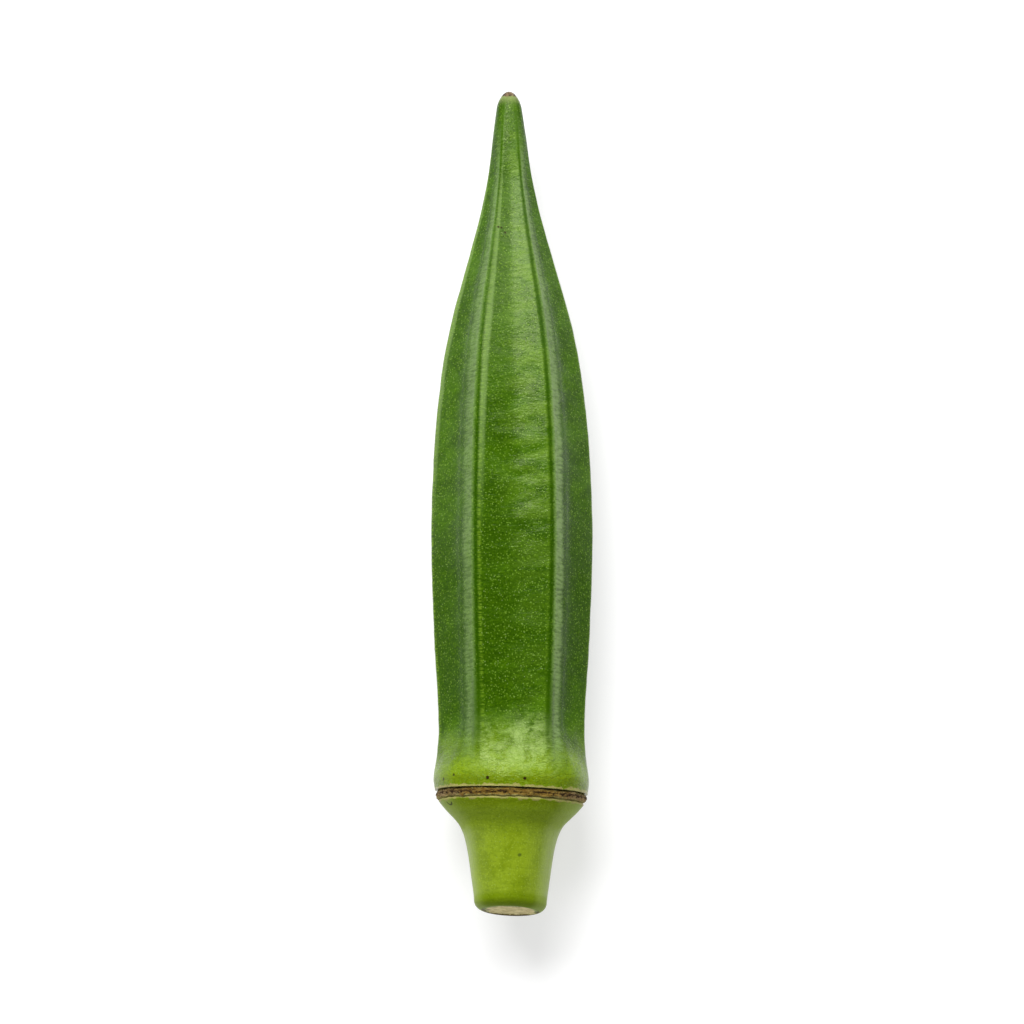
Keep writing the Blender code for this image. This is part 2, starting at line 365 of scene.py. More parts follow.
def crowded_rows():
    """Distances of the pod's rows, close together at the rim and on the dome."""
    rim = np.linspace(POD_START - POD_REACH, POD_START + FINE_RIM, POD_RIM_ROWS)
    body = np.linspace(POD_START + FINE_RIM, LENGTH - FINE_TIP, POD_BODY_ROWS)[1:]
    turn = 0.5 * math.pi * np.arange(1, POD_DOME_ROWS + 1) / (POD_DOME_ROWS + 0.3)
    return np.concatenate((rim, body, LENGTH - FINE_TIP * (1.0 - np.sin(turn))))


def pod_relief(along, crest, narrow, marks, plain):
    """Height above the plain skin: a seam between two lips on each rib, and slow wrinkles."""
    seam = np.exp(-(crest / (SEAM_HALF_WIDTH * narrow)) ** 2)
    lips = np.exp(-((np.abs(crest) - LIP_AT * narrow) / (LIP_HALF_WIDTH * narrow)) ** 2)
    ribs = marks * narrow * (LIP_HEIGHT * lips - SEAM_DEPTH * seam)
    faces = 1.0 - np.exp(-(crest / (CALM_HALF_WIDTH * narrow)) ** 2)
    height = WRINKLE_HEIGHT * np.maximum(narrow, TIP_WRINKLE_SHARE)
    height = height * (CREST_WRINKLE_SHARE + (1.0 - CREST_WRINKLE_SHARE) * faces)
    wrinkles = noise_at(plain, *WRINKLES)
    wrinkles += SMALL_WRINKLE_SHARE * noise_at(plain, *SMALL_WRINKLES)
    return (ribs + height * wrinkles) * (along < LENGTH - SMOOTH_TIP)


def make_pod():
    """The ribbed capsule, with the numbers that its skin is coloured by."""
    along, even = np.meshgrid(crowded_rows(), crowded_angles(), indexing="ij")
    angle = even + RIB_TURN * (1.0 + np.cos(even)) - RIB_SPREAD * np.sin(even)
    radius = pod_radius(along, even)
    narrow = np.clip(radius / FULL_RELIEF_RADIUS, LEAST_NARROW, 1.0)
    # Signed distance over the skin from the nearest crest, and how strong a rib's marks are.
    off = (even % RIB_PITCH) - 0.5 * RIB_PITCH
    crest = off * radius
    marks = smoothstep(*MARKS_FADE_BASE, along) * (1.0 - smoothstep(*MARKS_FADE_TIP, along))
    radius = radius + pod_relief(along, crest, narrow, marks, grown(along, radius, angle))
    grid = grown(along, radius, angle)
    # The base is drawn in behind the ring, so that no gap shows.
    centre = grid[0].mean(axis=0)
    inner = [centre + (grid[0] - centre) * share for share in (0.90, 0.97)]
    pod = surface("okra_pod", np.concatenate((np.array(inner), grid)))
    # Distance from a crest, positive where an upper or a lower rib faces sideways.
    flank = crest * np.sign(np.sin(2.0 * even)) / narrow
    crests = 1.0 - smoothstep(0.75, 0.92, np.abs(off) / (0.5 * RIB_PITCH))
    add_attributes(pod, len(inner), along_mm=along / MM, flank_mm=flank / MM, crests=crests,
                   ribs=marks * crests, side=np.sin(even),
                   upper=smoothstep(0.70, 0.90, np.cos(even)))
    return pod


# ---------------------------------------------------------------- the dry ring

def make_scar():
    """The thin ring, ragged and flaky outside."""
    turn = full_turn(SCAR_SECTION_POINTS)
    # A rounded, flattened section, thick outside and hidden inside.
    height = np.sign(np.sin(turn)) * np.abs(np.sin(turn)) ** 0.8
    height, even = np.meshgrid(height, full_turn(SCAR_AROUND), indexing="ij")
    out = (np.sign(np.cos(turn)) * np.abs(np.cos(turn)) ** 0.55)[:, None]
    outside = np.clip(out, 0.0, 1.0)
    radius = SCAR_RADIUS - SCAR_DEPTH + SCAR_DEPTH * out
    along = SCAR_AT + (SCAR_HALF + SCAR_REACH) * height
    plain = grown(along, radius, even)
    ragged, flaky = noise_at(plain, *RAGGED), noise_at(plain, *FLAKES)
    radius = radius + outside * (SCAR_LAYERS * np.cos(2.6 * math.pi * height)
                                 + SCAR_RAGGED * ragged + SCAR_FLAKY * flaky
                                 + SCAR_SLOW * noise_at(plain, *SLOW))
    edge = SCAR_EDGE_RAGGED * ragged + SCAR_EDGE_FLAKY * flaky
    along = along + outside * edge * np.sign(height)
    scar = surface("calyx_ring", grown(along, radius, even), closed=True)
    add_attributes(scar, height=height, side=np.abs(np.sin(even)))
    return scar


# ---------------------------------------------------------------- the stalk

def stalk_profile():
    """Distance and radius of each row: the cut face, its rounded edge, the side, the lip."""
    edge_along, edge_radius = STALK_OUTLINE[0]
    share = np.arange(1, STALK_CUT_ROWS + 1) / STALK_CUT_ROWS
    face = np.stack((np.zeros(STALK_CUT_ROWS), CUT_RADIUS * share), axis=1)
    turn = 0.5 * math.pi * np.arange(1, STALK_EDGE_ROWS + 1) / STALK_EDGE_ROWS
    edge = np.stack((edge_along * (1.0 - np.cos(turn)),
                     CUT_RADIUS + (edge_radius - CUT_RADIUS) * np.sin(turn)), axis=1)
    side_along = np.linspace(edge_along, STALK_END, STALK_SIDE_ROWS)[1:]
    side = np.stack((side_along, outline_radius(STALK_OUTLINE, side_along)), axis=1)
    return np.concatenate((face, edge, side, STALK_LIP))


def make_stalk():
    """The stalk and its cap, a little lumpy, with a sunk rough cut."""
    profile = stalk_profile()
    along, even = np.meshgrid(profile[:, 0], full_turn(STALK_AROUND), indexing="ij")
    radius = profile[:, 1:]
    plain = grown(along, radius, even)
    # The side is a little out of round, streaky and lumpy between the cut and the cap.
    body = smoothstep(0.0, 2.0 * MM, along) * (1.0 - smoothstep(*STALK_CALMS, along))
    shape = STALK_OVAL * np.sin(2.0 * even + 0.6) + STALK_FIVE_WAVES * np.sin(5.0 * even + 1.0)
    uneven = STALK_STREAKS * noise_at(plain, *STREAKS) + STALK_LUMPS * noise_at(plain, *LUMPS)
    radius = radius * (1.0 + shape * body) + uneven * body
    on_face = (1.0 - smoothstep(0.88, 1.02, radius / CUT_RADIUS)) * (along < 0.01 * MM)
    hollowed = along + on_face * (CUT_HOLLOW + CUT_GRAIN * noise_at(plain, *GRAIN))
    stalk = surface("cut_stalk", grown(hollowed, radius, even))
    # side: how far a point faces sideways, more on the right, for the stalk's painted sheen.
    add_attributes(stalk, along_mm=along / MM, radius_mm=radius / MM,
                   side=np.maximum(-np.sin(even), 1.15 * np.sin(even)),
                   under=0.5 - 0.5 * np.cos(even))
    return stalk


# ---------------------------------------------------------------- node helpers

class Tree:
    """A material's nodes, added one call at a time, and the colour built up so far."""

    def __init__(self, name):
        self.material = bpy.data.materials.new(name)
        self.material.use_nodes = True
        self.tree = self.material.node_tree
        self.shader = self.tree.nodes["Principled BSDF"]
        self.place = self.add("ShaderNodeTexCoord").outputs["Object"]
        self.colour = None

    def add(self, kind, **settings):
        node = self.tree.nodes.new(kind)
        for key, value in settings.items():
            setattr(node, key, value)
        return node

    def feed(self, socket, value):
        if isinstance(value, bpy.types.NodeSocket):
            self.tree.links.new(value, socket)
        elif socket.type == "RGBA":
            socket.default_value = (*value, 1.0)
        else:
            socket.default_value = value

    def attribute(self, name):
        return self.add("ShaderNodeAttribute", attribute_name=name).outputs["Fac"]

    def math(self, operation, a, b=0.0):
        node = self.add("ShaderNodeMath", operation=operation)
        self.feed(node.inputs[0], a)
        self.feed(node.inputs[1], b)
        return node.outputs[0]

    def plus(self, a, *others):
        for b in others:
            a = self.math("ADD", a, b)
        return a

    def minus(self, a, b):
        return self.math("SUBTRACT", a, b)

    def times(self, a, *others):
        for b in others:
            a = self.math("MULTIPLY", a, b)
        return a

    def step(self, value, low, high, to_low=0.0, to_high=1.0):
        """Smooth change from to_low to to_high as value goes from low to high."""
        node = self.add("ShaderNodeMapRange", interpolation_type="SMOOTHSTEP")
        self.feed(node.inputs["Value"], value)
        if low > high:
            low, high, to_low, to_high = high, low, to_high, to_low
        for key, number in (("From Min", low), ("From Max", high),
                            ("To Min", to_low), ("To Max", to_high)):
            node.inputs[key].default_value = number
        return node.outputs["Result"]

    def band(self, value, middle, half_width, soft):
        """1 inside a band, falling to 0 over the soft distance on each side."""
        away = self.math("ABSOLUTE", self.minus(value, middle))
        return self.step(away, half_width + soft, half_width)

    def stretched(self, scale):
        """The place, scaled by cycles per metre, the same each way or along X, Y and Z."""
        node = self.add("ShaderNodeMapping")
        self.feed(node.inputs["Vector"], self.place)
        node.inputs["Scale"].default_value = scale if isinstance(scale, tuple) else (scale,) * 3
        return node.outputs["Vector"]

    def noise(self, scale, detail=2.0, rough=0.5, warp=0.0):
        """Noise from 0 to 1."""
        node = self.add("ShaderNodeTexNoise")
        self.feed(node.inputs["Vector"], self.stretched(scale))
        for key, number in (("Scale", 1.0), ("Detail", detail), ("Roughness", rough),
                            ("Distortion", warp)):
            node.inputs[key].default_value = number
        return node.outputs["Fac"]

    def cells(self, scale, feature="F1"):
        """Distance from the middle of a cell, or from its edge."""
        node = self.add("ShaderNodeTexVoronoi", feature=feature)
        self.feed(node.inputs["Vector"], self.stretched(scale))
        node.inputs["Scale"].default_value = 1.0
        return node.outputs["Distance"]

    def distance_mm(self, point):
        node = self.add("ShaderNodeVectorMath", operation="DISTANCE")
        self.feed(node.inputs[0], self.place)
        node.inputs[1].default_value = point
        return self.times(node.outputs["Value"], 1.0 / MM)

    def spot(self, point, radius, soft, wobble):
        """A small roundish mark at a point, its edge broken by a noise. Sizes in mm."""
        away = self.plus(self.distance_mm(point), self.times(wobble, 0.5 * radius))
        return self.step(away, radius + soft, radius)

    def mix(self, amount, a, b, blend="MIX"):
        node = self.add("ShaderNodeMix", data_type="RGBA", blend_type=blend)
        self.feed(node.inputs["Factor"], amount)
        colours = [socket for socket in node.inputs if socket.type == "RGBA"]
        for socket, value in zip(colours, (a, b)):
            self.feed(socket, value)
        return next(socket for socket in node.outputs if socket.type == "RGBA")

    def tint(self, colour, *amounts, blend="MIX"):
        """Lay a colour over what is there, as strongly as the amounts' product."""
        self.colour = self.mix(self.times(*amounts), self.colour, colour, blend)

    def bump(self, height, distance, strength=1.0):
        node = self.add("ShaderNodeBump")
        node.inputs["Strength"].default_value = strength
        node.inputs["Distance"].default_value = distance
        self.feed(node.inputs["Height"], height)
        return node.outputs["Normal"]

    def finish(self, **values):
        """Set the shader's inputs by name, underscores for spaces, and give the material."""
        self.feed(self.shader.inputs["Base Color"], self.colour)
        for key, value in values.items():
            self.feed(self.shader.inputs[key.replace("_", " ")], value)
        return self.material


# ---------------------------------------------------------------- the pod's skin

# Where the skin changes, in mm from the cut end: from none of it to all of it.
LEFT_SHADE_DEEPENS = (36.0, 48.0)
NECK = (66.0, 96.0)
NEAR_TIP = (98.0, 108.0)
REFLECTION_RIPPLES = (40.0, 64.0)
BASE_YELLOWS = (23.5, 12.0)
RIM_DARKENS = (18.9, 17.6)
COMB_THINS = (62.0, 84.0)
SHOULDER_SHOWS = (50.0, 72.0)
SEAM_NARROWS = (70.0, 100.0)
SEAM_SHOWS = (21.0, 31.0)
RIM_EDGE = (16.06, 15.92)
TIP_STRIPES = (101.0, 107.0)
TIP_PALES = (112.8, 114.7)
TIP_DRIES = (114.65, 114.95)
CREASED_NECK = (66.0, 88.0)
CREASED_BASE = (28.0, 22.0)
GLOSSY_BASE = (27.0, 21.0)

# Bands along the pod, in mm from the cut end: middle, half width, and fade on each side.
DARKEST = (43.0, 5.0, 13.0)
BASE_HIGHLIGHT_BAND = (22.4, 1.8, 3.8)
SEAM_FADES = (88.0, 8.0, 16.0)
SHADED_WAIST = (26.0, 3.0, 6.0)
DULL = (36.0, 8.0, 9.0)

# Bands across a rib, in mm from its crest, positive where an upper or a lower rib faces
# sideways. Where the pod is thin, they are narrower.
SEAM = (-0.12, 0.05, 0.40)
BEADS = (-0.60, 0.10, 0.30)
SHOULDER = (-0.80, 0.15, 0.40)
SHADE = (0.25, 0.40, 0.90)
GLINT = (0.0, 0.30, 0.40)
STRIPE = (-0.20, 0.50, 0.80)

# Across a rib in the same way, from none of it to all of it: both sides of the comb of
# hairs and its painted sheen, and the haze over it.
COMB_STARTS = (-0.50, 0.10)
COMB_ENDS = (3.0, 1.5)
HAZE = (0.2, 1.4)

# Places around the pod, as the sine of the angle from the top: from none of it to all of it.
RIGHT_HALF = (-0.34, 0.295)
OUTER_CRESTS = (0.727, 0.909)

# How strong a rib's hairs and painted sheen are: a mean, and a swing with that sine,
# so that the painted sheen is brighter on the right.
HAIRS_AND_SHEEN_MEAN = 0.95
HAIRS_AND_SHEEN_SWING = 0.44


class PodSkin(Tree):
    """The ribbed green skin, built up in layers."""

    def __init__(self):
        super().__init__("pod_skin")
        self.along, self.flank = self.attribute("along_mm"), self.attribute("flank_mm")
        self.crests, self.ribs = self.attribute("crests"), self.attribute("ribs")
        side, self.upper = self.attribute("side"), self.attribute("upper")
        self.right = self.step(side, *RIGHT_HALF)
        self.left = self.step(self.right, 1.0, 0.0)
        self.outer = self.step(self.math("ABSOLUTE", side), *OUTER_CRESTS)
        self.inner = self.step(self.outer, 1.0, 0.0)
        self.hairs_and_sheen = self.plus(self.times(side, HAIRS_AND_SHEEN_SWING), HAIRS_AND_SHEEN_MEAN)
        self.patches = self.noise((200.0, 260.0, 200.0), rough=0.55, warp=0.5)
        self.mottle = self.noise((700.0, 1500.0, 700.0), rough=0.6, warp=1.0)
        self.leather = self.noise((850.0, 2000.0, 850.0), rough=0.60, warp=1.2)
        self.hairs = self.noise((500.0, 2900.0, 500.0), detail=1.0)
        self.grain = self.noise(3600.0, detail=1.0, rough=0.6)
        self.dots = self.step(self.cells(2600.0), 0.32, 0.18)

    def greens(self):
        """Deep green in patches, painted shade on the left of the top, a painted highlight on
        the neck, painted rippled reflections on the right.
        """
        darkest = self.times(self.band(self.along, *DARKEST), 0.22)
        deep = self.step(self.minus(self.patches, darkest), 0.34, 0.64)
        self.colour = self.mix(deep, DEEP_GREEN, LEAF_GREEN)
        # Painted shade: the left half of the upper face is darker, as it faces away from the key
        # light.
        self.tint(DEEP_GREEN, self.upper, self.left, self.step(self.along, *LEFT_SHADE_DEEPENS), 0.22)
        # Painted highlight: a pale bluish green on the neck, strongest on top and on the right.
        self.neck = self.times(self.step(self.along, *NECK),
                               self.step(self.upper, 0.0, 1.0, 0.05, 0.70),
                               self.step(self.right, 0.0, 1.0, 0.35, 1.0),
                               self.step(self.along, *NEAR_TIP, 1.0, 0.50))
        self.tint(NECK_HIGHLIGHT_GREEN, self.neck)
        # Painted reflection: pale wavy patches on the right half of the upper face.
        reflection_ripples = self.step(self.noise((170.0, 420.0, 170.0), warp=0.6), 0.44, 0.60)
        spread = self.step(self.along, *REFLECTION_RIPPLES, 0.25, 1.0)
        self.tint(RIPPLE_REFLECTION_GREEN, reflection_ripples, spread, self.upper, self.right, 0.34)
        self.tint(LIGHT_GREEN, self.step(self.mottle, 0.50, 0.70), 0.22)

    def base(self):
        """Yellower toward the base, a darker rim, and painted highlight patches above it."""
        near_base = self.plus(self.along, self.times(self.patches, -6.0))
        near_base = self.minus(near_base, self.times(self.upper, 0.5))
        self.tint(BASE_GREEN, self.step(near_base, *BASE_YELLOWS), 0.95)
        self.tint(RIM_GREEN, self.step(self.along, *RIM_DARKENS))
        # Painted highlight: pale patches on the upper face above the rim, stronger on the right.
        patches = self.noise((460.0, 560.0, 460.0), detail=3.0, rough=0.6, warp=1.0)
        more_right = self.step(self.right, 0.0, 1.0, 0.5, 1.0)
        self.tint(BASE_HIGHLIGHT_GREEN, self.step(patches, 0.32, 0.68), self.band(self.along, *BASE_HIGHLIGHT_BAND),
                  self.upper, more_right, 0.48)

    def speckle(self):
        """Fine grain, a leathery net of dark lines, and pale dots of two sizes."""
        self.tint(GRAIN_SHADE, self.step(self.grain, 0.50, 0.30), 0.6, blend="MULTIPLY")
        self.tint(LIGHT_GREEN, self.step(self.grain, 0.56, 0.72), 0.35)
        crackle = self.cells((1100.0, 1500.0, 1100.0), "DISTANCE_TO_EDGE")
        net = self.times(self.step(crackle, 0.10, 0.02), self.step(self.mottle, 0.38, 0.56))
        net = self.math("MAXIMUM", net, self.step(self.leather, 0.44, 0.34))
        on_neck = self.step(self.neck, 0.0, 0.5, 0.65, 0.85)
        self.tint(GRAIN_SHADE, net, on_neck, blend="MULTIPLY")
        self.tint(DOT_GREEN, self.dots, 0.60)
        self.tint(PALE_SPECK, self.step(self.cells(1500.0), 0.17, 0.08), 0.40)

    def comb(self):
        """A comb of short pale hairs from each upper and lower crest, on its sideways flank,
        with a painted sheen over it.
        """
        reach = self.plus(self.flank, self.times(self.hairs, -0.9))
        comb = self.times(self.step(reach, *COMB_STARTS), self.step(reach, *COMB_ENDS))
        tufts = self.step(self.hairs, 0.30, 0.62, 0.40, 1.0)
        thin = self.times(self.step(self.along, *COMB_THINS), 0.30, self.right)
        # Painted sheen over the hairs: a pale band on the sideways flank of each crest, brighter
        # on the right.
        self.tint(HAIRS_AND_SHEEN_GREEN, comb, tufts, self.ribs, self.hairs_and_sheen, self.minus(1.0, thin), 0.74)

    def beads(self):
        """Beads on the other flank of those crests, with a painted highlight that is stronger on
        the left, and a painted highlight on the shoulder there on the left.
        """
        strokes = self.step(self.noise((600.0, 5200.0, 600.0), detail=1.0), 0.42, 0.60)
        more_left = self.step(self.right, 0.0, 1.0, 0.50, 0.16)
        # Painted highlight on the lip's beads, stronger on the left.
        self.tint(LIP_HIGHLIGHT_GREEN, self.band(self.flank, *BEADS), strokes, self.ribs, more_left)
        # Painted highlight on the shoulder, on the left.
        self.tint(SHOULDER_HIGHLIGHT_GREEN, self.band(self.flank, *SHOULDER),
                  self.step(self.along, *SHOULDER_SHOWS), 0.5,
                  self.step(self.along, *NEAR_TIP, 1.0, 0.3), self.crests, self.left)

    def seams(self):
        """A dark seam on each crest, painted shade beside the inner crests at the waist, and a
        painted glint on the two crests that face sideways.
        """
        edge = self.plus(self.flank, self.times(self.hairs, 0.30))
        edge = self.times(edge, self.step(self.along, *SEAM_NARROWS, 1.0, 0.6))
        fading = self.times(self.band(self.along, *SEAM_FADES), self.left, 0.55)
        self.seam = self.times(self.band(edge, *SEAM), self.ribs,
                               self.step(self.outer, 1.0, 0.0, 0.1, 1.0),
                               self.step(self.along, *SEAM_SHOWS, 0.15, 1.0),
                               self.minus(1.0, fading))
        self.tint(SEAM_GREEN, self.seam, 0.72)
        # Painted shade beside the inner crests at the waist.
        self.tint(DEEP_GREEN, self.band(self.along, *SHADED_WAIST),
                  self.band(self.flank, *SHADE), self.ribs, self.inner, 0.55)
        # Painted glint on the two crests that face sideways.
        self.tint(LIP_HIGHLIGHT_GREEN, self.band(self.flank, *GLINT), self.outer, self.crests, 0.50)

    def ends(self):
        """The rim's torn pale edge, the striped end of the neck, and the dry tip."""
        torn = self.noise(800.0, detail=3.0, rough=0.7)
        edge = self.plus(self.along, self.times(torn, -1.5))
        self.tint(RIM_CREAM, self.step(edge, *RIM_EDGE), 0.80)
        self.tint(LEAF_GREEN, self.band(self.flank, *STRIPE),
                  self.step(self.along, *TIP_STRIPES), self.crests, 0.50)
        self.tint(TIP_OLIVE, self.step(self.along, *TIP_PALES), 0.75)
        wobble = self.noise(2500.0)
        tip = self.plus(self.along, self.times(wobble, 0.8))
        dry = self.mix(self.step(self.grain, 0.38, 0.62), TIP_BROWN, TIP_TAN)
        self.tint(dry, self.step(tip, *TIP_DRIES))

    def marks(self, spots):
        for point, radius in spots:
            self.tint(DARK_BROWN, self.spot(point, radius, 0.14, self.grain))

    def normal(self):
        """Dots, grain, mottling and hairs, and creases that deepen toward both ends."""
        ends = self.plus(self.step(self.along, *CREASED_NECK),
                         self.step(self.along, *CREASED_BASE, 0.0, 1.6))
        creases = self.times(self.leather, self.plus(self.times(ends, 1.2), 1.0))
        height = self.plus(self.times(self.dots, 0.10), self.times(self.grain, 0.15),
                           self.mottle, creases, self.times(self.hairs, 0.30))
        return self.bump(height, POD_BUMP)

    def specular(self):
        """Duller on the belly, in the seams and among the hairs; glossier at the base."""
        dull = self.step(self.band(self.along, *DULL), 0.0, 1.0,
                         POD_SPECULAR, 0.55 * POD_SPECULAR)
        hazy = self.times(self.step(self.flank, *HAZE), 0.65, self.crests)
        return self.times(dull, self.step(self.seam, 0.0, 1.0, 1.0, 0.2),
                          self.minus(1.0, hazy), self.step(self.along, *GLOSSY_BASE, 1.0, 1.35))


def pod_finish(spots):
    skin = PodSkin()
    skin.greens()
    skin.base()
    skin.speckle()
    skin.comb()
    skin.beads()
    skin.seams()
    skin.ends()
    skin.marks(spots)
    rough = skin.step(skin.patches, 0.35, 0.7, POD_ROUGHNESS, POD_ROUGHNESS + 0.06)
    return skin.finish(Roughness=rough, Normal=skin.normal(), Specular_Tint=SKIN_TINT,
                       Specular_IOR_Level=skin.specular())


# ---------------------------------------------------------------- the ring's tissue

def scar_finish():
    """Gold and brown fibres with a dark broken line, dark crumbs, and torn pale edges."""
    t = Tree("dry_scar")
    height, side = t.attribute("height"), t.attribute("side")
    fibres = t.noise((700.0, 4200.0, 700.0), detail=4.0, rough=0.7, warp=0.8)
    crumbs = t.noise((1800.0, 2600.0, 1800.0), detail=3.0, rough=0.65)
    patches = t.noise(330.0, rough=0.6)
    t.colour = t.mix(t.step(fibres, 0.40, 0.60), DRY_BROWN, GOLD_BROWN)
    sides = t.plus(side, t.times(patches, 0.9))
    t.tint(TAN, t.step(sides, 1.00, 1.45), 0.85)
    line = t.band(t.plus(height, t.times(crumbs, 1.3)), 0.72, 0.06, 0.24)
    t.tint(DARK_BROWN, line, t.step(patches, 0.36, 0.50, 0.30, 0.95))
    t.tint(DARK_BROWN, t.step(crumbs, 0.54, 0.62), 0.9)
    edge = t.plus(t.math("ABSOLUTE", height), t.times(crumbs, 1.4))
    t.tint(RIM_CREAM, t.step(edge, 1.30, 1.52), 0.9)
    return t.finish(Roughness=0.8, Normal=t.bump(t.plus(fibres, crumbs), SCAR_BUMP),
                    Specular_IOR_Level=0.05)


# ---------------------------------------------------------------- the stalk's skin and cut

# Where the stalk changes, in mm from the cut end: from none of it to all of it.
CAP_SHOWS = (10.6, 13.2)
CAP_ENDS = (14.4, 15.4)
CAP_EDGE = (15.52, 15.68)
FLAKE_SHOWS = (14.80, 14.60)
CUT_SHOWS = (0.34, 0.16)
BARK_SHOWS = (0.60, 0.30)

# The same on the cut, in mm from its middle: the pith, and both sides of the brown rim.
PITH_SHOWS = (3.90, 3.58)
BARK_INSIDE = (3.66, 3.86)
BARK_OUTSIDE = (4.10, 3.96)

# Bands, in mm: middle, half width, and fade on each side.
LOW_END = (0.6, 0.6, 1.4)            # from the cut end
FLAKE_SHADOW_CRESCENT = (0.70, 0.07, 0.12)  # from the lifted flake's point


class StalkSkin(Tree):
    """Yellow-green skin with a greener cap, and the pale cut."""

    def __init__(self):
        super().__init__("stalk_skin")
        self.along, self.radius = self.attribute("along_mm"), self.attribute("radius_mm")
        self.streaks = self.noise((2600.0, 420.0, 2600.0), rough=0.6, warp=0.3)
        self.patches = self.noise((300.0, 240.0, 300.0), detail=3.0, rough=0.55, warp=0.4)
        self.wrinkles = self.noise((420.0, 1500.0, 420.0), rough=0.55, warp=0.8)
        self.grain = self.noise(3600.0, rough=0.6)
        self.pith = self.noise(1300.0, detail=4.0, rough=0.7)
        ragged = self.plus(self.along, self.times(self.patches, 2.0))
        self.cap = self.step(ragged, *CAP_SHOWS)
        self.cap_edge = self.step(ragged, *CAP_ENDS)
        self.low_end = self.band(self.along, *LOW_END)

    def greens(self):
        self.colour = self.mix(self.step(self.patches, 0.38, 0.62), STALK_GREEN, STALK_LIGHT)
        # The cap's own green, painted lighter to make up for the shade it gets, facing away from
        # the key light.
        self.tint(CAP_GREEN_PAINTED_LIGHTER, self.cap)
        self.tint(STALK_GREEN, self.cap_edge)
        self.tint(STALK_SHADE, self.step(self.streaks, 0.46, 0.32), 0.28)
        self.tint(STALK_SHADE, self.step(self.wrinkles, 0.48, 0.34), 0.22)
        self.tint(STALK_SHADE, self.step(self.grain, 0.50, 0.32), 0.35)
        self.tint(STALK_LIGHT, self.step(self.grain, 0.52, 0.70), 0.55)
        self.tint(STALK_DOT, self.step(self.cells(2600.0), 0.32, 0.18), 0.45)
        self.tint(PALE_SPECK, self.step(self.cells(1500.0), 0.15, 0.08), 0.25)
        self.tint(STALK_SHADE, self.low_end, 0.55)
        # Painted sheen: paler on the stalk's flanks, more so on the right.
        self.tint(STALK_SHEEN_PALE, self.step(self.attribute("side"), 0.70, 0.98), 0.52)
        torn = self.noise(800.0, detail=3.0, rough=0.7)
        edge = self.plus(self.along, self.times(torn, 1.5))
        self.tint(RIM_CREAM, self.step(edge, *CAP_EDGE), 0.85)

    def cut(self, chips):
        """A pale pith in a green skin that is thickest on top, and a torn brown rim below."""
        around = self.attribute("under")
        under = self.math("POWER", around, 2.0)
        green = self.math("POWER", self.minus(1.0, around), 2.0)
        fine = self.times(self.minus(self.grain, 0.5), 0.7)
        torn = self.times(self.minus(self.noise(450.0, detail=3.0, rough=0.6), 0.5), 1.6)
        reach = self.plus(self.radius, fine, torn, self.times(under, 0.40))
        flesh = self.mix(self.step(self.pith, 0.35, 0.65), PITH_DARK, PITH_PALE)
        inside = self.step(self.plus(reach, self.times(green, 0.95)), *PITH_SHOWS)
        self.tint(flesh, self.step(self.along, *CUT_SHOWS), inside)
        self.tint(BARK_BROWN, self.step(reach, *BARK_INSIDE),
                  self.step(self.radius, *BARK_OUTSIDE), self.step(self.along, *BARK_SHOWS),
                  self.step(under, 0.05, 0.35, 0.15, 1.0), 0.9)
        for point in chips:
            self.tint(DARK_BROWN, self.spot(point, 0.20, 0.35, self.pith), 0.85)

    def marks(self, spots, flake):
        """A dark crescent painted as the shadow under a lifted flake of the cap, and small dull
        marks.
        """
        # Painted shadow: a dark crescent under a lifted flake, which is not drawn itself.
        crescent = self.band(self.distance_mm(flake), *FLAKE_SHADOW_CRESCENT)
        depth = self.plus(self.along, self.times(self.grain, 0.3))
        self.tint(DARK_BROWN, crescent, self.step(depth, *FLAKE_SHOWS), 0.85)
        for point, size in spots:
            self.tint(STALK_MARK_GREEN, self.spot(point, size, 0.25, self.grain), 0.75)


def stalk_finish(spots, flake, chips):
    skin = StalkSkin()
    skin.greens()
    skin.cut(chips)
    skin.marks(spots, flake)
    height = skin.plus(skin.times(skin.streaks, 0.5), skin.times(skin.grain, 0.3),
                       skin.times(skin.wrinkles, 0.8))
    dull = skin.math("MAXIMUM", skin.low_end, skin.cap)
    return skin.finish(Roughness=skin.step(skin.patches, 0.3, 0.7, 0.34, 0.42),
                       Normal=skin.bump(height, STALK_BUMP),
                       Specular_IOR_Level=skin.step(dull, 0.0, 1.0, 0.20, 0.02))


def table_finish():
    """Matt white board, softly lit from below."""
    t = Tree("table_white")
    t.colour = TABLE_WHITE
    return t.finish(Roughness=0.9, Normal=t.bump(t.noise(300.0), TABLE_BUMP, 0.2),
                    Specular_IOR_Level=0.1, Emission_Color=WHITE, Emission_Strength=TABLE_GLOW)


# ---------------------------------------------------------------- putting it together

def at_rest(pieces):
    """The pose of the CAD: pitched, then set so that the boxes' middles and floors agree."""
    turn = Matrix.Rotation(REST_PITCH, 4, "X")
    low, high = np.full(3, np.inf), np.full(3, -np.inf)
    for piece in pieces:
        piece.data.transform(turn)
        points = np.empty(3 * len(piece.data.vertices), dtype=np.float32)
        piece.data.vertices.foreach_get("co", points)
        points = points.reshape(-1, 3)
        low, high = np.minimum(low, points.min(axis=0)), np.maximum(high, points.max(axis=0))
    shift = Vector((0.5 * (CAD_LOW[0] + CAD_HIGH[0]) - 0.5 * (low[0] + high[0]),
                    0.5 * (CAD_LOW[1] + CAD_HIGH[1]) - 0.5 * (low[1] + high[1]),
                    CAD_LOW[2] - low[2]))
    pose = Matrix.Translation(shift)
    for piece in pieces:
        piece.data.transform(pose)
    return pose @ turn


def placed(pose, along, radius, even):
    """A point of the grown shape as the CAD stands. Distance and radius are arrays of one."""
    return pose @ Vector(grown(along, radius, even)[0])


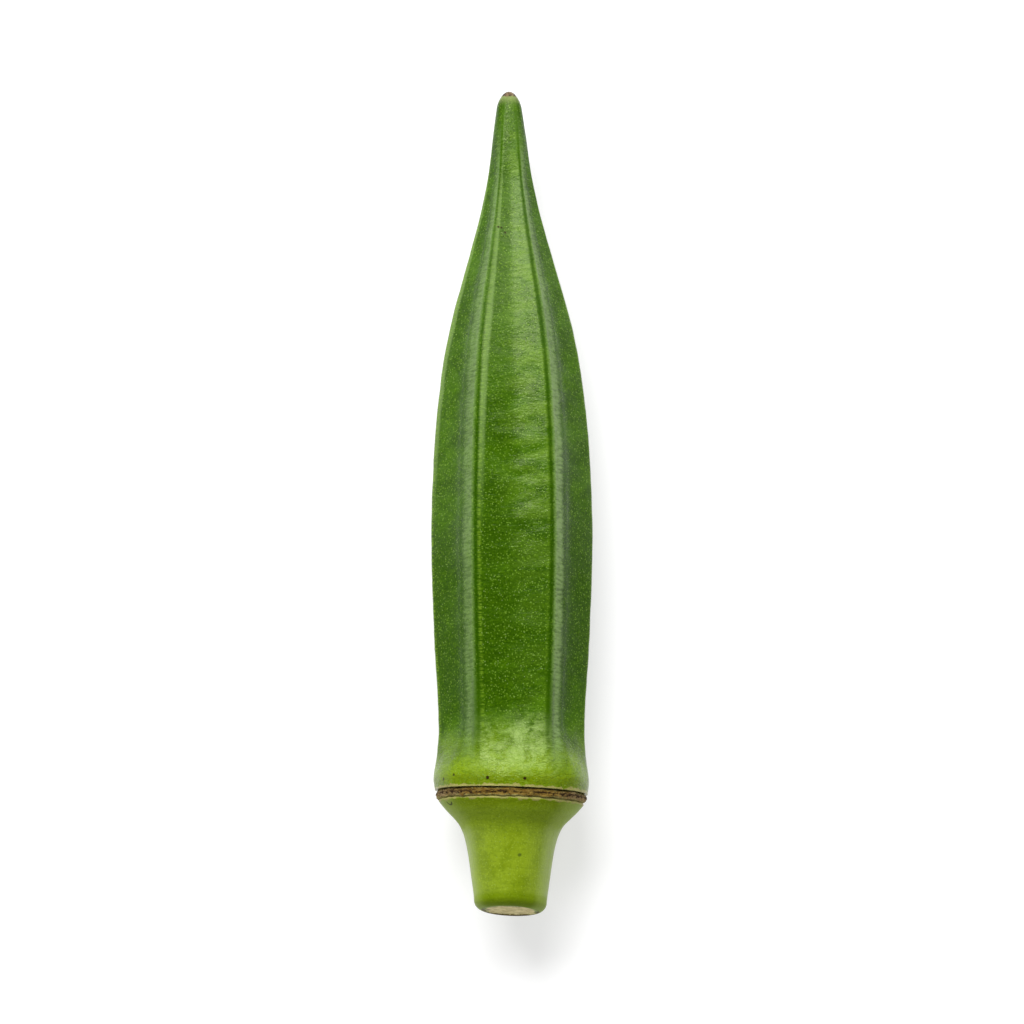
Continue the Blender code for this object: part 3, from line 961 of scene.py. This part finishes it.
def on_pod(pose, along_mm, degrees):
    along, even = np.array([along_mm * MM]), np.array([math.radians(degrees)])
    return placed(pose, along, pod_radius(along, even), even)


def on_stalk(pose, along_mm, degrees):
    along, even = np.array([along_mm * MM]), math.radians(degrees)
    return placed(pose, along, outline_radius(STALK_OUTLINE, along), even)


def on_cut(pose, radius_mm, degrees):
    return placed(pose, np.zeros(1), np.array([radius_mm * MM]), math.radians(degrees))


def make_object():
    pod, scar, stalk = make_pod(), make_scar(), make_stalk()
    pose = at_rest((pod, scar, stalk))
    pod_spots = [(on_pod(pose, along, degrees), size)
                 for along, degrees, size in RIM_MARKS + NECK_MARKS + TIP_MARKS]
    stalk_spots = [(on_stalk(pose, *STALK_MARK[:2]), STALK_MARK[2])]
    chips = [on_cut(pose, *chip) for chip in CHIPS]
    flake = on_stalk(pose, *LIFTED_FLAKE)
    for piece, node, slot, material in (
            (pod, "pod", "pod_skin", pod_finish(pod_spots)),
            (scar, "calyx_scar", "dry_scar", scar_finish()),
            (stalk, "stem", "stalk_skin", stalk_finish(stalk_spots, flake, chips))):
        piece.data.materials.append(material)
        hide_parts(node)
        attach(piece, "root")


def make_floor():
    size = TABLE_HALF_SIZE
    mesh = bpy.data.meshes.new("table_top")
    mesh.from_pydata([(-size, -size, 0), (size, -size, 0), (size, size, 0), (-size, size, 0)],
                     [], [(0, 1, 2, 3)])
    mesh.materials.append(table_finish())
    floor = bpy.data.objects.new("table_top", mesh)
    bpy.context.scene.collection.objects.link(floor)


def make_room():
    """White walls all round that darken upward into the ceiling."""
    world = bpy.data.worlds.new("studio")
    bpy.context.scene.world = world
    world.use_nodes = True
    nodes, links = world.node_tree.nodes, world.node_tree.links
    direction = nodes.new("ShaderNodeTexCoord")
    parts = nodes.new("ShaderNodeSeparateXYZ")
    links.new(direction.outputs["Generated"], parts.inputs[0])
    height = nodes.new("ShaderNodeMapRange")
    height.interpolation_type = "SMOOTHSTEP"
    for key, number in (("From Min", CEILING_EDGE[0]), ("From Max", CEILING_EDGE[1]),
                        ("To Min", WALL_LIGHT), ("To Max", CEILING_LIGHT)):
        height.inputs[key].default_value = number
    links.new(parts.outputs["Z"], height.inputs["Value"])
    background = nodes["Background"]
    links.new(height.outputs["Result"], background.inputs["Strength"])
    background.inputs["Color"].default_value = (*WHITE, 1.0)


def make_lights():
    """Soft boxes: a key from the upper left and a weaker one from the right."""
    for name, position, size, power in LIGHTS:
        data = bpy.data.lights.new(name, "AREA")
        data.shape = "RECTANGLE"
        data.size, data.size_y = size
        data.energy = power
        light = bpy.data.objects.new(name, data)
        bpy.context.scene.collection.objects.link(light)
        light.location = position
        aim = Vector(LIGHTS_AIM) - Vector(position)
        light.rotation_euler = aim.to_track_quat("-Z", "Y").to_euler()


def make_camera():
    data = bpy.data.cameras.new("camera")
    camera = bpy.data.objects.new("camera", data)
    bpy.context.scene.collection.objects.link(camera)
    bpy.context.scene.camera = camera
    aim = (CAD_LOW + CAD_HIGH) * 0.5 + AIM_OFFSET
    back = Vector((0.0, -math.cos(CAMERA_ELEVATION), math.sin(CAMERA_ELEVATION)))
    camera.location = aim + back * CAMERA_DISTANCE
    camera.rotation_euler = (-back).to_track_quat("-Z", "Y").to_euler()
    data.sensor_width = SENSOR_WIDTH
    data.lens = SENSOR_WIDTH * CAMERA_DISTANCE / PICTURE_HEIGHT
    data.clip_start, data.clip_end = CLIP_RANGE


def set_view():
    """Show the colours as they are, without a film curve."""
    view = bpy.context.scene.view_settings
    view.view_transform = "Standard"
    view.look = "None"


make_object()
make_floor()
make_room()
make_lights()
make_camera()
set_view()
